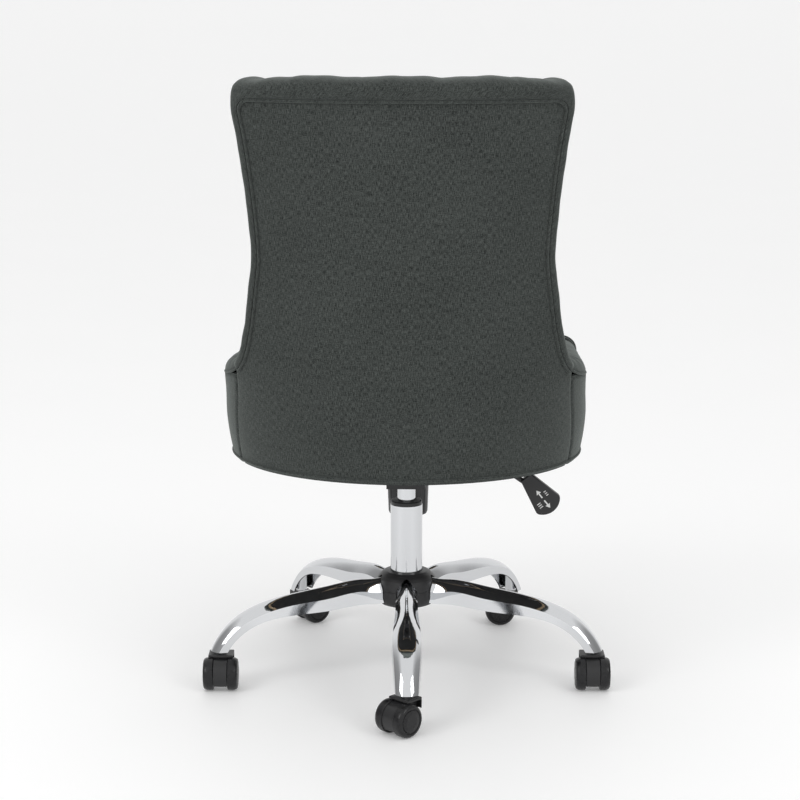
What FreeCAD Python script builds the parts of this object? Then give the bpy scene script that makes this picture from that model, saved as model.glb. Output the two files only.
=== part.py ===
import FreeCAD, Part
import math
import os

from FreeCAD import Vector

# Swivel office chair: upholstered tub seat with a tufted back on a tilt mechanism, gas lift and five-star base.
# Millimetres. The origin is on the floor under the swivel column. +Z is up, the sitter faces -Y, and the
# sitter's right hand, where the lever is, is at -X. Every piece is one node, written to parts/NODE.step.

UP = Vector(0, 0, 1)
FIT = 0.05          # running or seated clearance on a radius
SKIN_GAP = 2.2      # thickness of cloth and wadding between upholstery layers
os.makedirs("parts", exist_ok=True)


def save(name, shape):
    """Writes one node and stops on a solid that is open or inside out."""
    for solid in shape.Solids:
        if not solid.isValid() or solid.Volume <= 0:
            raise ValueError(f"{name} has a bad solid")
    shape.exportStep(f"parts/{name}.step")
    print(f"{name}: {len(shape.Solids)} solid(s), {shape.Volume / 1000:.1f} cm3")


def ring(outer, inner, low, high, centre=(0, 0)):
    """A tube or washer standing on +Z."""
    base = Vector(centre[0], centre[1], low)
    body = Part.makeCylinder(outer, high - low, base, UP)
    if inner:
        body = body.cut(Part.makeCylinder(inner, high - low + 2, base - UP, UP))
    return body


def spun(profile, axis_point=Vector(0, 0, 0), axis=UP):
    """A closed outline of (radius, height) points turned about +Z."""
    points = [Vector(r, 0, z) for r, z in profile]
    face = Part.Face(Part.makePolygon(points + points[:1]))
    return face.revolve(axis_point, axis, 360)


def box(low, high):
    """A block between two corners."""
    size = Vector(*high) - Vector(*low)
    return Part.makeBox(size.x, size.y, size.z, Vector(*low))


def turned(shape, degrees, centre=Vector(0, 0, 0)):
    """A copy of the shape turned about a vertical axis."""
    copy = shape.copy()
    copy.rotate(centre, UP, degrees)
    return copy


# ---------------------------------------------------------------- casters
# Twin-wheel furniture casters on 11 mm grip-ring stems. Each is drawn with its stem on the Z axis and its
# axle trailing behind on +Y, then turned to its own heading and set under its arm.
ARM_COUNT = 5
BASE_TURN = 1.8              # rest turn of the base under the seat, degrees about +Z
STEM_CIRCLE = 301.0          # radius of the circle of stems
HEADINGS = [-44, -72, 126, -92, 72]     # rest heading of each caster from its own arm, degrees about +Z
wheel_radius = 25.0
wheel_width = 16.5
wheel_gap = 0.6              # side clearance of a wheel
caster_core = 20.5           # width of the body between the wheels
caster_trail = 18.0
axle_radius = 3.0
stem_radius = 5.5
boss_top = 54.0              # top of the caster's body
boss_nose = 12.5             # reach of the body ahead of the stem
roof_thick = 3.2
roof_half_width = 19.0
stem_foot = 40.0             # depth that the stem reaches down into the body
stem_top = 71.0
stem_collar = 1.6            # height of the stem's shoulder
arm_bottom = boss_top + 3.6  # lowest edge of an arm over its caster
socket_radius = 9.5


def caster_body():
    """Drum between the wheels, stem boss, roof over the wheels and front apron, in one moulding."""
    half = caster_core / 2
    hub = Vector(0, caster_trail, wheel_radius)
    drum = Part.makeCylinder(wheel_radius - 1.5, caster_core, hub - Vector(half, 0, 0), Vector(1, 0, 0))
    boss = box((-half, -boss_nose, 27), (half, caster_trail - 4, boss_top))
    roof = box((-roof_half_width, -boss_nose, boss_top - roof_thick),
               (roof_half_width, caster_trail, boss_top))
    apron = box((-roof_half_width, -boss_nose, 38), (roof_half_width, -boss_nose + 3, boss_top))
    whole = drum.fuse([boss, roof, apron]).removeSplitter()
    whole = whole.cut(box((-30, -30, -5), (30, 60, 9.5)))
    upright = [e for e in whole.Edges
               if e.BoundBox.ZLength > 10 and e.BoundBox.XLength + e.BoundBox.YLength < 0.1]
    corners = [e for e in upright if abs(abs(e.CenterOfMass.x) - roof_half_width) < 0.1
               and e.CenterOfMass.y < -boss_nose + 0.5]
    whole = whole.makeFillet(2.0, corners)
    rim = [e for e in whole.Edges
           if abs(e.BoundBox.ZMin - boss_top) < 0.01 and abs(e.BoundBox.ZMax - boss_top) < 0.01]
    whole = whole.makeFillet(1.0, rim)
    stem_bore = Part.makeCylinder(stem_radius + FIT, boss_top, Vector(0, 0, stem_foot - 0.5), UP)
    reach = caster_core + 2
    axle_bore = Part.makeCylinder(axle_radius + FIT, reach, hub - Vector(reach / 2, 0, 0), Vector(1, 0, 0))
    return whole.cut(stem_bore).cut(axle_bore)


def caster_wheel(side):
    """One nylon wheel: rounded tread, ringed outer face and a blind axle bore. side is +1 or -1 along X."""
    w, r = wheel_width, wheel_radius
    tread = [(0, 0), (r - 1, 0), (r, 1), (r, w * 0.5)]
    shoulder = [(r - 4.5 + 4.5 * math.cos(a), w * 0.5 + (w * 0.5 - 1) * math.sin(a))
                for a in (math.radians(18 * k) for k in range(1, 6))]
    face = [(r - 6, w - 1), (r - 6.6, w - 2), (r - 7.8, w - 2), (r - 8.4, w - 0.9), (r - 14, w), (0, w)]
    wheel = spun(tread + shoulder + face)
    wheel = wheel.cut(Part.makeCylinder(axle_radius + 2 * FIT, w - 3, Vector(0, 0, -0.001), UP))
    wheel.rotate(Vector(0, 0, 0), Vector(0, 1, 0), 90 * side)
    wheel.translate(Vector(side * (caster_core / 2 + wheel_gap), caster_trail, wheel_radius))
    return wheel


def caster_axle():
    """Steel pin through the body into both wheels."""
    half = caster_core / 2 + wheel_gap + wheel_width - 3.6
    start = Vector(-half, caster_trail, wheel_radius)
    return Part.makeCylinder(axle_radius, 2 * half, start, Vector(1, 0, 0))


def arm_angle(index):
    """The direction of arm number index, degrees about +Z from +Y."""
    return BASE_TURN + index * 360 / ARM_COUNT


def placed(shape, index, heading=0.0):
    """The shape turned to a heading and set at the end of arm number index."""
    copy = turned(shape, heading)
    copy.translate(Vector(0, STEM_CIRCLE, 0))
    return turned(copy, arm_angle(index))


for index in range(ARM_COUNT):
    heading, tag = HEADINGS[index], index + 1
    save(f"caster_body_{tag}", placed(caster_body(), index, heading))
    save(f"caster_axle_{tag}", placed(caster_axle(), index, heading))
    save(f"caster_wheel_left_{tag}", placed(caster_wheel(1), index, heading))
    save(f"caster_wheel_right_{tag}", placed(caster_wheel(-1), index, heading))

collar_low = boss_top + 0.4
stem = ring(stem_radius, 0, stem_foot, stem_top).fuse(ring(8.0, 0, collar_low, collar_low + stem_collar))
stem = stem.removeSplitter()
save("caster_stems", Part.makeCompound([placed(stem, i) for i in range(ARM_COUNT)]))

# ---------------------------------------------------------------- five-star base
# Chromed steel channels, open underneath, butted against a socket ring and hidden by a two-part moulded
# cover.
tube_radius = 25.0
socket_wall = 5.0            # wall of the steel ring that the arms are welded to
socket_ring_radius = tube_radius + socket_wall
hub_low, hub_seam, hub_high = 107.0, 132.5, 161.0
hub_radius = socket_ring_radius + 16
arm_wall = 2.0
# Along each arm: distance out, ridge height, slope in degrees, depth, half width, shoulder half width,
# crown height, roundness of the crown (1 is two flat slants, 2 is a parabola)
ARM_STATIONS = [
    (socket_ring_radius + 0.1, 155.0, 4, 38, 15.0, 14.2, 16.0, 1.3),
    (75.0, 150.5, 6, 37, 16.4, 15.6, 16.5, 1.3),
    (130.0, 144.5, 7, 35, 18.4, 17.4, 15.5, 1.35),
    (180.0, 138.0, 9, 30, 20.5, 19.3, 13.0, 1.5),
    (225.0, 129.0, 16, 24, 22.6, 21.2, 10.5, 1.7),
    (258.0, 117.0, 29, 21, 22.4, 20.8, 9.5, 1.9),
    (284.0, 100.5, 43, 20, 20.8, 19.2, 8.5, 2.0),
    (303.0, 80.5, 53, 19, 19.4, 17.8, 8.0, 2.0),
    (312.5, 66.0, 60, 19, 18.6, 17.0, 7.5, 2.0),
    (317.5, 56.0, 64, 19, 18.2, 16.6, 7.5, 2.0),
]


def arm_section(station, inset, extra):
    """The arch outline of one station, moved in by inset all round and open by extra at the bottom."""
    out, ridge, slope, depth, half, shoulder, crown, roundness = station
    tilt = math.radians(slope)
    down = Vector(0, -math.sin(tilt), -math.cos(tilt))
    top = Vector(0, out, ridge)
    low = depth + extra
    crest = []
    for k in range(-6, 7):
        share = (math.hypot(k / 6, 0.12) - 0.12) / (math.hypot(1, 0.12) - 0.12)
        fall = inset + (crown - inset) * share ** roundness
        crest.append(top + Vector((shoulder - inset) * k / 6, 0, 0) + down * fall)
    arch = Part.BSplineCurve()
    arch.interpolate(crest)
    left = top + Vector(-(half - inset), 0, 0) + down * low
    right = top + Vector(half - inset, 0, 0) + down * low
    return Part.Wire([arch.toShape(), Part.makeLine(crest[-1], right), Part.makeLine(right, left),
                      Part.makeLine(left, crest[0])])


def arm_loft(inset, extra, stations):
    return Part.makeLoft([arm_section(s, inset, extra) for s in stations], True, False)


def shifted(station, along):
    """The station moved along its own path direction."""
    out, ridge, slope = station[:3]
    tilt = math.radians(slope)
    return (out + along * math.cos(tilt), ridge - along * math.sin(tilt), slope, *station[3:])


arm_outside = arm_loft(0, 0, ARM_STATIONS)
inner_stations = [shifted(ARM_STATIONS[0], -3)] + ARM_STATIONS[1:-1]
inner_stations.append(shifted(ARM_STATIONS[-1], -arm_wall - 3))
arm_inside = arm_loft(arm_wall, 6, inner_stations)
floor_cut = box((-60, 0, -20), (60, 400, arm_bottom))
arm_shape = arm_outside.cut(arm_inside).cut(floor_cut).cut(ring(socket_ring_radius + 0.1, 0, 90, 170))
arm_shape = max(arm_shape.Solids, key=lambda s: s.Volume)
for index in range(ARM_COUNT):
    save(f"base_arm_{index + 1}", turned(arm_shape, arm_angle(index)))

blank = ring(socket_radius, 0, arm_bottom, 100, (0, STEM_CIRCLE)).cut(arm_shape)
socket_lug = min(blank.Solids, key=lambda s: s.CenterOfMass.z)
socket_lug = socket_lug.cut(ring(stem_radius + FIT, 0, 0, stem_top + 0.5, (0, STEM_CIRCLE)))
save("caster_sockets", Part.makeCompound([turned(socket_lug, arm_angle(i)) for i in range(ARM_COUNT)]))

save("hub_socket", ring(socket_ring_radius, tube_radius + FIT, 106, 152))

arm_clear = arm_loft(-1.0, 5, [shifted(ARM_STATIONS[0], -12)] + ARM_STATIONS[1:4])
arm_clears = [turned(arm_clear, arm_angle(i)) for i in range(ARM_COUNT)]
cover_wall = 2.5
bore = tube_radius + 0.6
dome = [(bore, hub_high), (bore + 7, hub_high - 1.0), (bore + 12, hub_high - 3.4), (bore + 16, hub_high - 7.4),
        (hub_radius - 1.2, hub_high - 11.5), (hub_radius, hub_high - 17), (hub_radius, hub_seam + 0.2)]
dome_inside = [(hub_radius - cover_wall, hub_seam + 0.2), (hub_radius - cover_wall, hub_high - 17.5),
               (hub_radius - 4.2, hub_high - 13), (bore + 13, hub_high - 8.4), (bore, hub_high - cover_wall)]
save("hub_cover_top", spun(dome + dome_inside).cut(arm_clears[0].fuse(arm_clears[1:])))
saucer = [(socket_ring_radius + 1, hub_low), (hub_radius - 9, hub_low), (hub_radius - 4.2, hub_low + 1.8),
          (hub_radius - 1.4, hub_low + 6), (hub_radius, hub_low + 12), (hub_radius, hub_seam - 0.2)]
saucer_inside = [(hub_radius - cover_wall, hub_seam - 0.2), (hub_radius - cover_wall, hub_low + 12),
                 (hub_radius - 6, hub_low + cover_wall + 1), (socket_ring_radius + 1, hub_low + cover_wall)]
save("hub_cover_bottom", spun(saucer + saucer_inside).cut(arm_clears[0].fuse(arm_clears[1:])))

# ---------------------------------------------------------------- gas lift column
# Stand tube pressed in the hub, plastic guide bush in its mouth, gas cylinder that slides and turns in the
# bush, and a piston rod that stands on a thrust bearing on the tube's floor.
tube_low, tube_top = 104.0, 267.0
tube_wall = 1.5
cylinder_radius = 14.0
cylinder_bore = 11.0
cylinder_low = 122.0
cylinder_top = 326.0
taper_start = 302.0
rod_radius = 5.0

tube = ring(tube_radius, tube_radius - tube_wall, tube_low, tube_top)
tube_floor = ring(tube_radius - 1, rod_radius + 0.6, tube_low, tube_low + 3)
save("column_tube", tube.fuse(tube_floor).removeSplitter())
bush_sleeve = ring(tube_radius - tube_wall - FIT, cylinder_radius + FIT, tube_top - 60, tube_top)
bush_lip = ring(tube_radius - 0.4, cylinder_radius + FIT, tube_top, tube_top + 6.5)
lip_edge = [e for e in bush_lip.Edges
            if e.BoundBox.ZMin > tube_top + 6 and e.BoundBox.XLength > 2 * tube_radius - 2]
save("guide_bush", bush_sleeve.fuse(bush_lip.makeFillet(1.5, lip_edge)).removeSplitter())
bearing_top = tube_low + 9
save("thrust_bearing", ring(11, rod_radius + FIT, tube_low + 3, bearing_top))
rod_head = cylinder_top - 40
rod = ring(rod_radius, 0, tube_low - 3.2, rod_head)
rod = rod.fuse(ring(8.5, 0, bearing_top, bearing_top + 3))
rod = rod.fuse(ring(cylinder_bore - FIT, 0, rod_head, rod_head + 9))
save("piston_rod", rod.removeSplitter())
save("retaining_clip", ring(9, rod_radius, tube_low - 2.4, tube_low - 1))
taper_tip = 12.8
cylinder_outline = [(0, cylinder_low), (cylinder_radius, cylinder_low), (cylinder_radius, taper_start),
                    (taper_tip, cylinder_top), (0, cylinder_top)]
gas_cylinder = spun(cylinder_outline)
gas_cylinder = gas_cylinder.cut(ring(rod_radius + FIT, 0, cylinder_low - 1, cylinder_low + 12))
gas_cylinder = gas_cylinder.cut(ring(cylinder_bore, 0, cylinder_low + 10, cylinder_top - 22))
pin_radius = 3.5
pin_proud = 4.0
gas_cylinder = gas_cylinder.cut(ring(pin_radius + FIT, 0, cylinder_top - 14, cylinder_top + 1))
save("gas_cylinder", gas_cylinder)
save("release_pin", ring(pin_radius, 0, cylinder_top - 8, cylinder_top + pin_proud))

# ---------------------------------------------------------------- tilt mechanism
# A pressed housing holds the cylinder's taper. The seat plate hinges on a cross pin ahead of the column, and a
# long bolt through the housing's nose carries the spring and the tension knob.
shell_low = 352.0            # bottom edge of the upholstered shell
plate_top = shell_low + 10
plate_thick = 3.0
housing_low = 300.0
housing_half = 30.0
housing_front, housing_rear = -112.0, 42.0
pivot_y, pivot_z = -50.0, 334.0
TILT = 12.0
knob_y = -92.0
knob_radius = 33.0
knob_low, knob_high = 229.0, 280.0
bolt_radius = 5.0
spring_low, spring_high = 262.0, housing_low - 0.3
lever_x = -housing_half - 3
lever_y = 0.0
lever_z = cylinder_top + pin_proud + 4.4

plate_low = plate_top - plate_thick
slope_fall = math.tan(math.radians(TILT + 1.5))
rear_top = plate_low - 2 - (housing_rear - pivot_y) * slope_fall


def housing_side(low, front, rear, front_top, back_top, half, x_low):
    """A prism across X with a roof that falls to the rear."""
    outline = [Vector(x_low, front, low), Vector(x_low, rear, low), Vector(x_low, rear, back_top),
               Vector(x_low, pivot_y, front_top), Vector(x_low, front, front_top)]
    return Part.Face(Part.makePolygon(outline + outline[:1])).extrude(Vector(half, 0, 0))


shell_block = housing_side(housing_low, housing_front, housing_rear, plate_low - 2, rear_top,
                           2 * housing_half, -housing_half)
hollow_block = housing_side(housing_low + 3, housing_front + 3, housing_rear - 3, plate_low + 20,
                            plate_low + 20, 2 * housing_half - 6, -housing_half + 3)
housing = shell_block.cut(hollow_block)
taper_angle = math.atan((cylinder_radius - taper_tip) / (cylinder_top - taper_start))
seat_tube_top = cylinder_top - 4


def taper_radius(height):
    """Radius of the cylinder's taper at a height, straight below it."""
    return cylinder_radius - max(0.0, height - taper_start) * math.tan(taper_angle)


collar = Part.makeCylinder(19, seat_tube_top - housing_low, Vector(0, 0, housing_low), UP)
housing = housing.fuse(collar).removeSplitter()
taper_void = spun([(0, housing_low - 1), (cylinder_radius + FIT, housing_low - 1),
                   (cylinder_radius + FIT, taper_start),
                   (taper_radius(seat_tube_top + 1) + FIT, seat_tube_top + 1), (0, seat_tube_top + 1)])
housing = housing.cut(taper_void)
pin_hole = Part.makeCylinder(5 + FIT, 120, Vector(-60, pivot_y, pivot_z), Vector(1, 0, 0))
housing = housing.cut(pin_hole)
slot_length = 15.0
bolt_slot = box((-bolt_radius - 1, knob_y - slot_length, housing_low - 1),
                (bolt_radius + 1, knob_y + slot_length, housing_low + 5))
housing = housing.cut(bolt_slot)
lever_hole = Part.makeCylinder(8.3, 12, Vector(-housing_half - 4, lever_y, lever_z), Vector(1, 0, 0))
lever_window = box((-housing_half - 4, lever_y - 8.3, lever_z),
                   (-housing_half + 4, lever_y + 8.3, plate_top + 5))
trunnion_radius = 1.4
trunnion_seat = box((-housing_half - 4, lever_y - 11, lever_z - trunnion_radius - FIT),
                    (-housing_half + 4, lever_y + 11, plate_top + 5))
housing = housing.cut(lever_hole).cut(lever_window).cut(trunnion_seat)
save("tilt_housing", housing)

cheek_in = housing_half + 1.0
cheek_thick = 3.0
plate_half = 75.0
bolt_spots = [(sx * 55, y) for sx in (-1, 1) for y in (-100, 70)]
flat_plate = box((-plate_half, -122, plate_low), (plate_half, 92, plate_top))
upright = [e for e in flat_plate.Edges if e.BoundBox.ZLength > 1]
flat_plate = flat_plate.makeFillet(14, upright)
cheeks = []
for x in (-cheek_in - cheek_thick, cheek_in):
    outline = [Vector(x, -74, plate_low), Vector(x, -62, pivot_z - 12), Vector(x, -38, pivot_z - 12),
               Vector(x, -20, plate_low)]
    cheeks.append(Part.Face(Part.makePolygon(outline + outline[:1])).extrude(Vector(cheek_thick, 0, 0)))
seat_plate = flat_plate.fuse(cheeks).removeSplitter().cut(pin_hole)
for x, y in bolt_spots:
    seat_plate = seat_plate.cut(ring(4.3, 0, plate_low - 1, plate_top + 1, (x, y)))
seat_plate = seat_plate.cut(ring(bolt_radius + FIT, 0, plate_low - 1, plate_top + 1, (0, knob_y)))
save("seat_plate", seat_plate)
pin_reach = cheek_in + cheek_thick + 3
tilt_pin = Part.makeCylinder(5, 2 * pin_reach, Vector(-pin_reach, pivot_y, pivot_z), Vector(1, 0, 0))
save("tilt_pin", tilt_pin)

knob_floor = spring_low - 5.6
bolt = ring(bolt_radius, 0, knob_low + 19, plate_top, (0, knob_y))
save("tension_bolt", bolt.fuse(ring(9, 0, plate_low - 6, plate_low, (0, knob_y))).removeSplitter())
washer_top = spring_low - 0.3
save("spring_washer", ring(15, bolt_radius + FIT, washer_top - 2.6, washer_top, (0, knob_y)))


def coil_spring(mean, wire, low, high, turns):
    """A closed helical spring standing on Z, swept round a helix."""
    pitch = (high - low - 2 * wire) / turns
    helix = Part.makeHelix(pitch, pitch * turns, mean)
    profile = Part.Wire(Part.makeCircle(wire, Vector(mean, 0, 0), Vector(0, 1, 0)))
    spring = Part.Wire(helix).makePipeShell([profile], True, True)
    spring.translate(Vector(0, knob_y, low + wire))
    return spring


save("tension_spring", coil_spring(11.0, 2.0, spring_low, spring_high, 5))

knob = spun([(0, knob_low), (knob_radius - 7, knob_low), (knob_radius - 3, knob_low + 1.5),
             (knob_radius - 1.6, knob_low + 5), (knob_radius, knob_high - 4), (knob_radius - 0.8, knob_high),
             (0, knob_high)])
flutes = []
for k in range(10):
    a = math.radians(36 * k)
    around = Vector(math.cos(a), math.sin(a), 0) * (knob_radius + 2)
    flutes.append(Part.makeCylinder(4, 80, around + UP * (knob_low - 5), UP))
knob = knob.cut(flutes[0].fuse(flutes[1:]))
knob = knob.cut(ring(17, 0, knob_floor + 2.4, knob_high + 1))
knob = knob.cut(ring(bolt_radius + FIT, 0, knob_low + 13, knob_high))
knob.translate(Vector(0, knob_y, 0))
save("tension_knob", knob)

save("plate_bolts", Part.makeCompound([
    ring(4.0, 0, plate_low - 0.1, shell_low + 24, spot).fuse(ring(7, 0, plate_low - 5.1, plate_low - 0.1, spot))
    .removeSplitter() for spot in bolt_spots]))

# Lever: a bent steel rod in a plastic pivot bush, with a moulded paddle that hangs below the shell.
rod_r = 4.0
paddle_length, paddle_end_radius, paddle_neck = 70.0, 23.0, 10.0
paddle_thick = 7.0
paddle_drop = 51.0           # degrees below level
paddle_neck_x, paddle_neck_z = -186.0, 312.0
bush_flange = 2.0
pivot_bush = Part.makeCylinder(8, 9, Vector(lever_x - 2, lever_y, lever_z), Vector(1, 0, 0))
flange_start = Vector(lever_x - 2 - bush_flange, lever_y, lever_z)
bush_ring = Part.makeCylinder(10.5, bush_flange, flange_start, Vector(1, 0, 0))
trunnion_start = Vector(-housing_half + 1.5, lever_y - 10.5, lever_z)
trunnions = Part.makeCylinder(trunnion_radius, 21, trunnion_start, Vector(0, 1, 0))
pivot_bush = pivot_bush.fuse([bush_ring, trunnions]).removeSplitter()
bush_bore = Part.makeCylinder(rod_r + FIT, 40, Vector(lever_x - 20, lever_y, lever_z), Vector(1, 0, 0))
save("lever_pivot", pivot_bush.cut(bush_bore))
elbow = Vector(-138, lever_y, lever_z)
neck = Vector(paddle_neck_x, lever_y, paddle_neck_z)
tip_in = Vector(9, lever_y, lever_z)


def bent_rod(a, b, c, radius, bend):
    """A round bar along a-b-c with one tangent arc at b."""
    u, v = (a - b).normalize(), (c - b).normalize()
    half = math.acos(max(-1, min(1, u.dot(v)))) / 2
    cut = bend / math.tan(half)
    start, end = b + u * cut, b + v * cut
    middle = b + (u + v).normalize() * (bend / math.sin(half) - bend)
    path = Part.Wire([Part.makeLine(a, start), Part.Arc(start, middle, end).toShape(), Part.makeLine(end, c)])
    profile = Part.Wire(Part.makeCircle(radius, a, b - a))
    return path.makePipeShell([profile], True, True)


droop = math.radians(paddle_drop)
paddle_axis = Vector(-math.cos(droop), 0, -math.sin(droop))
lever_rod = bent_rod(tip_in, elbow, neck + paddle_axis * 30, rod_r, 22)
save("lever_rod", lever_rod)


def paddle():
    """Flat fan in the XZ plane, narrow at the neck and round at the end, with softened faces."""
    side = Vector(0, 1, 0).cross(paddle_axis).normalize()
    bulge = paddle_end_radius * 0.55
    end_centre = neck + paddle_axis * (paddle_length - bulge)
    low_neck, high_neck = neck + side * paddle_neck, neck - side * paddle_neck
    low_end, high_end = end_centre + side * paddle_end_radius, end_centre - side * paddle_end_radius
    tip = end_centre + paddle_axis * bulge
    outline = Part.Wire([Part.makeLine(high_neck, low_neck), Part.makeLine(low_neck, low_end),
                         Part.Arc(low_end, tip, high_end).toShape(), Part.makeLine(high_end, high_neck)])
    solid = Part.Face(outline).extrude(Vector(0, 2 * paddle_thick, 0))
    solid.translate(Vector(0, -paddle_thick, 0))
    near = 1.1 * paddle_end_radius
    corners = [e for e in solid.Edges if e.BoundBox.YLength > 1 and (e.CenterOfMass - end_centre).Length < near]
    solid = solid.makeFillet(7, corners)
    return solid.makeFillet(2.4, [e for e in solid.Edges if e.BoundBox.YLength < 0.1])


save("lever_paddle", paddle().cut(bent_rod(tip_in, elbow, neck + paddle_axis * 30, rod_r + 0.01, 22)))

# ---------------------------------------------------------------- upholstered tub seat
# One moulded panel wraps the back and both sides. In plan it is half an ellipse with straight sides running
# forward. Inside it come the timber frame, the back pad and the arm pads, and the cushion sits on a board.
# Each level: height, half width, depth of the half ellipse, rear face
SHELL_LEVELS = [
    (shell_low, 268, 235, 235), (385, 274, 234, 240), (420, 276.5, 222, 243), (460, 274.5, 196, 244.5),
    (500, 273, 165, 245), (560, 268, 138, 246), (620, 259.5, 127, 248), (680, 252, 125, 250),
    (740, 255.5, 125, 258), (840, 268, 125, 276), (900, 279, 125, 289), (960, 287, 125, 302),
]
shell_front = -270.0         # front ends of the arms
panel_thick = 13.0
frame_thick = 10.0
frame_out = panel_thick + 2.5
frame_in = frame_out + frame_thick
pad_out = frame_in + 2.5
arm_pad_in, back_pad_in = 50.0, 78.0
panel_top = 918.0
SIDE_ANGLE = 58.0            # plan angle of the back's side edge
arm_rear_top, arm_front_top = 492.0, 458.0
roll_over_top, roll_over_side, corner_drop = 27.0, 16.0, 8.0
ROLL_FOOT = 512.0            # lower ends of the back's roll


def level(height, column):
    """A value of the level table between two heights, on a smooth curve through the rows."""
    rows = SHELL_LEVELS
    k = max(0, min(len(rows) - 2, sum(1 for row in rows if row[0] <= height) - 1))
    low, high = rows[k], rows[k + 1]
    before, after = rows[max(0, k - 1)], rows[min(len(rows) - 1, k + 2)]
    span = high[0] - low[0]
    t = max(0.0, min(1.0, (height - low[0]) / span))
    start = (high[column] - before[column]) / (high[0] - before[0]) * span
    end = (after[column] - low[column]) / (after[0] - low[0]) * span
    return ((2 * t ** 3 - 3 * t ** 2 + 1) * low[column] + (t ** 3 - 2 * t ** 2 + t) * start
            + (3 * t ** 2 - 2 * t ** 3) * high[column] + (t ** 3 - t ** 2) * end)


def shell_point(angle, height, inward=0.0):
    """A point of the outer face at a plan angle from the rear, moved inward."""
    half, depth, rear = (level(height, k) for k in (1, 2, 3))
    a = math.radians(angle)
    face = Vector(half * math.sin(a), rear - depth + depth * math.cos(a), height)
    return face - outward(angle, height) * inward


def outward(angle, height):
    """The plan normal of the outer face."""
    half, depth = level(height, 1), level(height, 2)
    a = math.radians(angle)
    return Vector(depth * math.sin(a), half * math.cos(a), 0).normalize()


def side_end(height):
    """The plan angle where the panel ends at a height above the arms."""
    for low, high in zip(PANEL_ENDS, PANEL_ENDS[1:]):
        if height <= high[0]:
            share = max(0.0, (height - low[0]) / (high[0] - low[0]))
            return low[1] + share * (high[1] - low[1])
    return PANEL_ENDS[-1][1]


CORNER_RISE = 26.0           # height of the top corners' quarter turn
CORNER_ANGLE = 49.0          # plan angle where the flat top ends
ELBOW_ENDS = [(arm_rear_top, 90), (492.9, 87), (493.8, 84), (495, 80), (496.7, 77), (499, 73), (502.5, 70.2),
              (506, 67.5), (510.5, 65.7), (515, 64), (528, 61.3), (545, 59.5), (580, SIDE_ANGLE)]
TURN_ENDS = [(panel_top - CORNER_RISE * (1 - math.cos(math.radians(a))),
              CORNER_ANGLE + (SIDE_ANGLE - CORNER_ANGLE) * math.sin(math.radians(a)))
             for a in (90, 75, 60, 45, 30, 15, 0)]
PANEL_ENDS = ELBOW_ENDS + TURN_ENDS


def arm_end(height):
    """How far forward the arm reaches at a height: its top slopes up to the rear."""
    share = (height - arm_front_top) / (arm_rear_top - arm_front_top)
    return shell_front + max(0.0, share) * (ARM_TOP_REAR - shell_front)


ARM_TOP_REAR = 74.0


def arc_edge(height, first, last, inward):
    """An edge along the plan ellipse between two angles."""
    curve = Part.BSplineCurve()
    curve.interpolate([shell_point(first + (last - first) * k / 20, height, inward) for k in range(21)])
    return curve


def band(near, far, levels, first, last):
    """A wall between two inward offsets, lofted up through its levels. first and last give its end angles."""
    wires = []
    for height in levels:
        outer = arc_edge(height, first(height), last(height), near)
        inner = arc_edge(height, last(height), first(height), far)
        ends = [Part.makeLine(outer.EndPoint, inner.StartPoint), Part.makeLine(inner.EndPoint, outer.StartPoint)]
        wires.append(Part.Wire([outer.toShape(), ends[0], inner.toShape(), ends[1]]))
    return Part.makeLoft(wires, True, True)


def arm_band(near, far, levels, end, first=-90):
    """The same wall with straight arms running forward to end(height), on both sides or from one angle on."""
    wires = []
    for height in levels:
        outer, inner = arc_edge(height, first, 90, near), arc_edge(height, 90, first, far)
        tip_out, tip_in = Vector(outer.EndPoint), Vector(inner.StartPoint)
        tip_out.y = tip_in.y = end(height)
        edges = [outer.toShape(), Part.makeLine(outer.EndPoint, tip_out),
                 Part.makeLine(tip_out, tip_in), Part.makeLine(tip_in, inner.StartPoint), inner.toShape()]
        if first == -90:
            mirrored = [Vector(-p.x, p.y, p.z) for p in (tip_in, tip_out)]
            edges += [Part.makeLine(inner.EndPoint, mirrored[0]), Part.makeLine(*mirrored),
                      Part.makeLine(mirrored[1], outer.StartPoint)]
        else:
            edges.append(Part.makeLine(inner.EndPoint, outer.StartPoint))
        wires.append(Part.Wire(edges))
    return Part.makeLoft(wires, True, True)


arm_levels = [shell_low, 368, 385, 402, 420, 440, arm_front_top]
upper_levels = [z for z, _ in ELBOW_ENDS] + list(range(600, 881, 20)) + [z for z, _ in TURN_ENDS]
low_wall = arm_band(0, panel_thick, arm_levels + [475, arm_rear_top], arm_end)
high_wall = band(0, panel_thick, upper_levels, lambda z: -side_end(z), side_end)
save("outer_shell", low_wall.fuse(high_wall))

FRAME_STEP = 10.0            # the frame stops short of the panel's edges
low_frame = arm_band(frame_out, frame_in, [z + FRAME_STEP for z in arm_levels[:-2]] + [arm_front_top, 480],
                     lambda z: arm_end(z + FRAME_STEP) + 8)
BACK_FRAME_LOW = 482.5
frame_top = panel_top - FRAME_STEP


def frame_end(height):
    return min(SIDE_ANGLE, side_end(min(panel_top, height + FRAME_STEP))) - 2.5


frame_levels = [BACK_FRAME_LOW] + [z for z in upper_levels if 500 < z < frame_top - 1] + [frame_top]
high_frame = band(frame_out, frame_in, frame_levels, lambda z: -frame_end(z), frame_end)
save("seat_frame", low_frame)
save("back_frame", high_frame)

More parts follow.
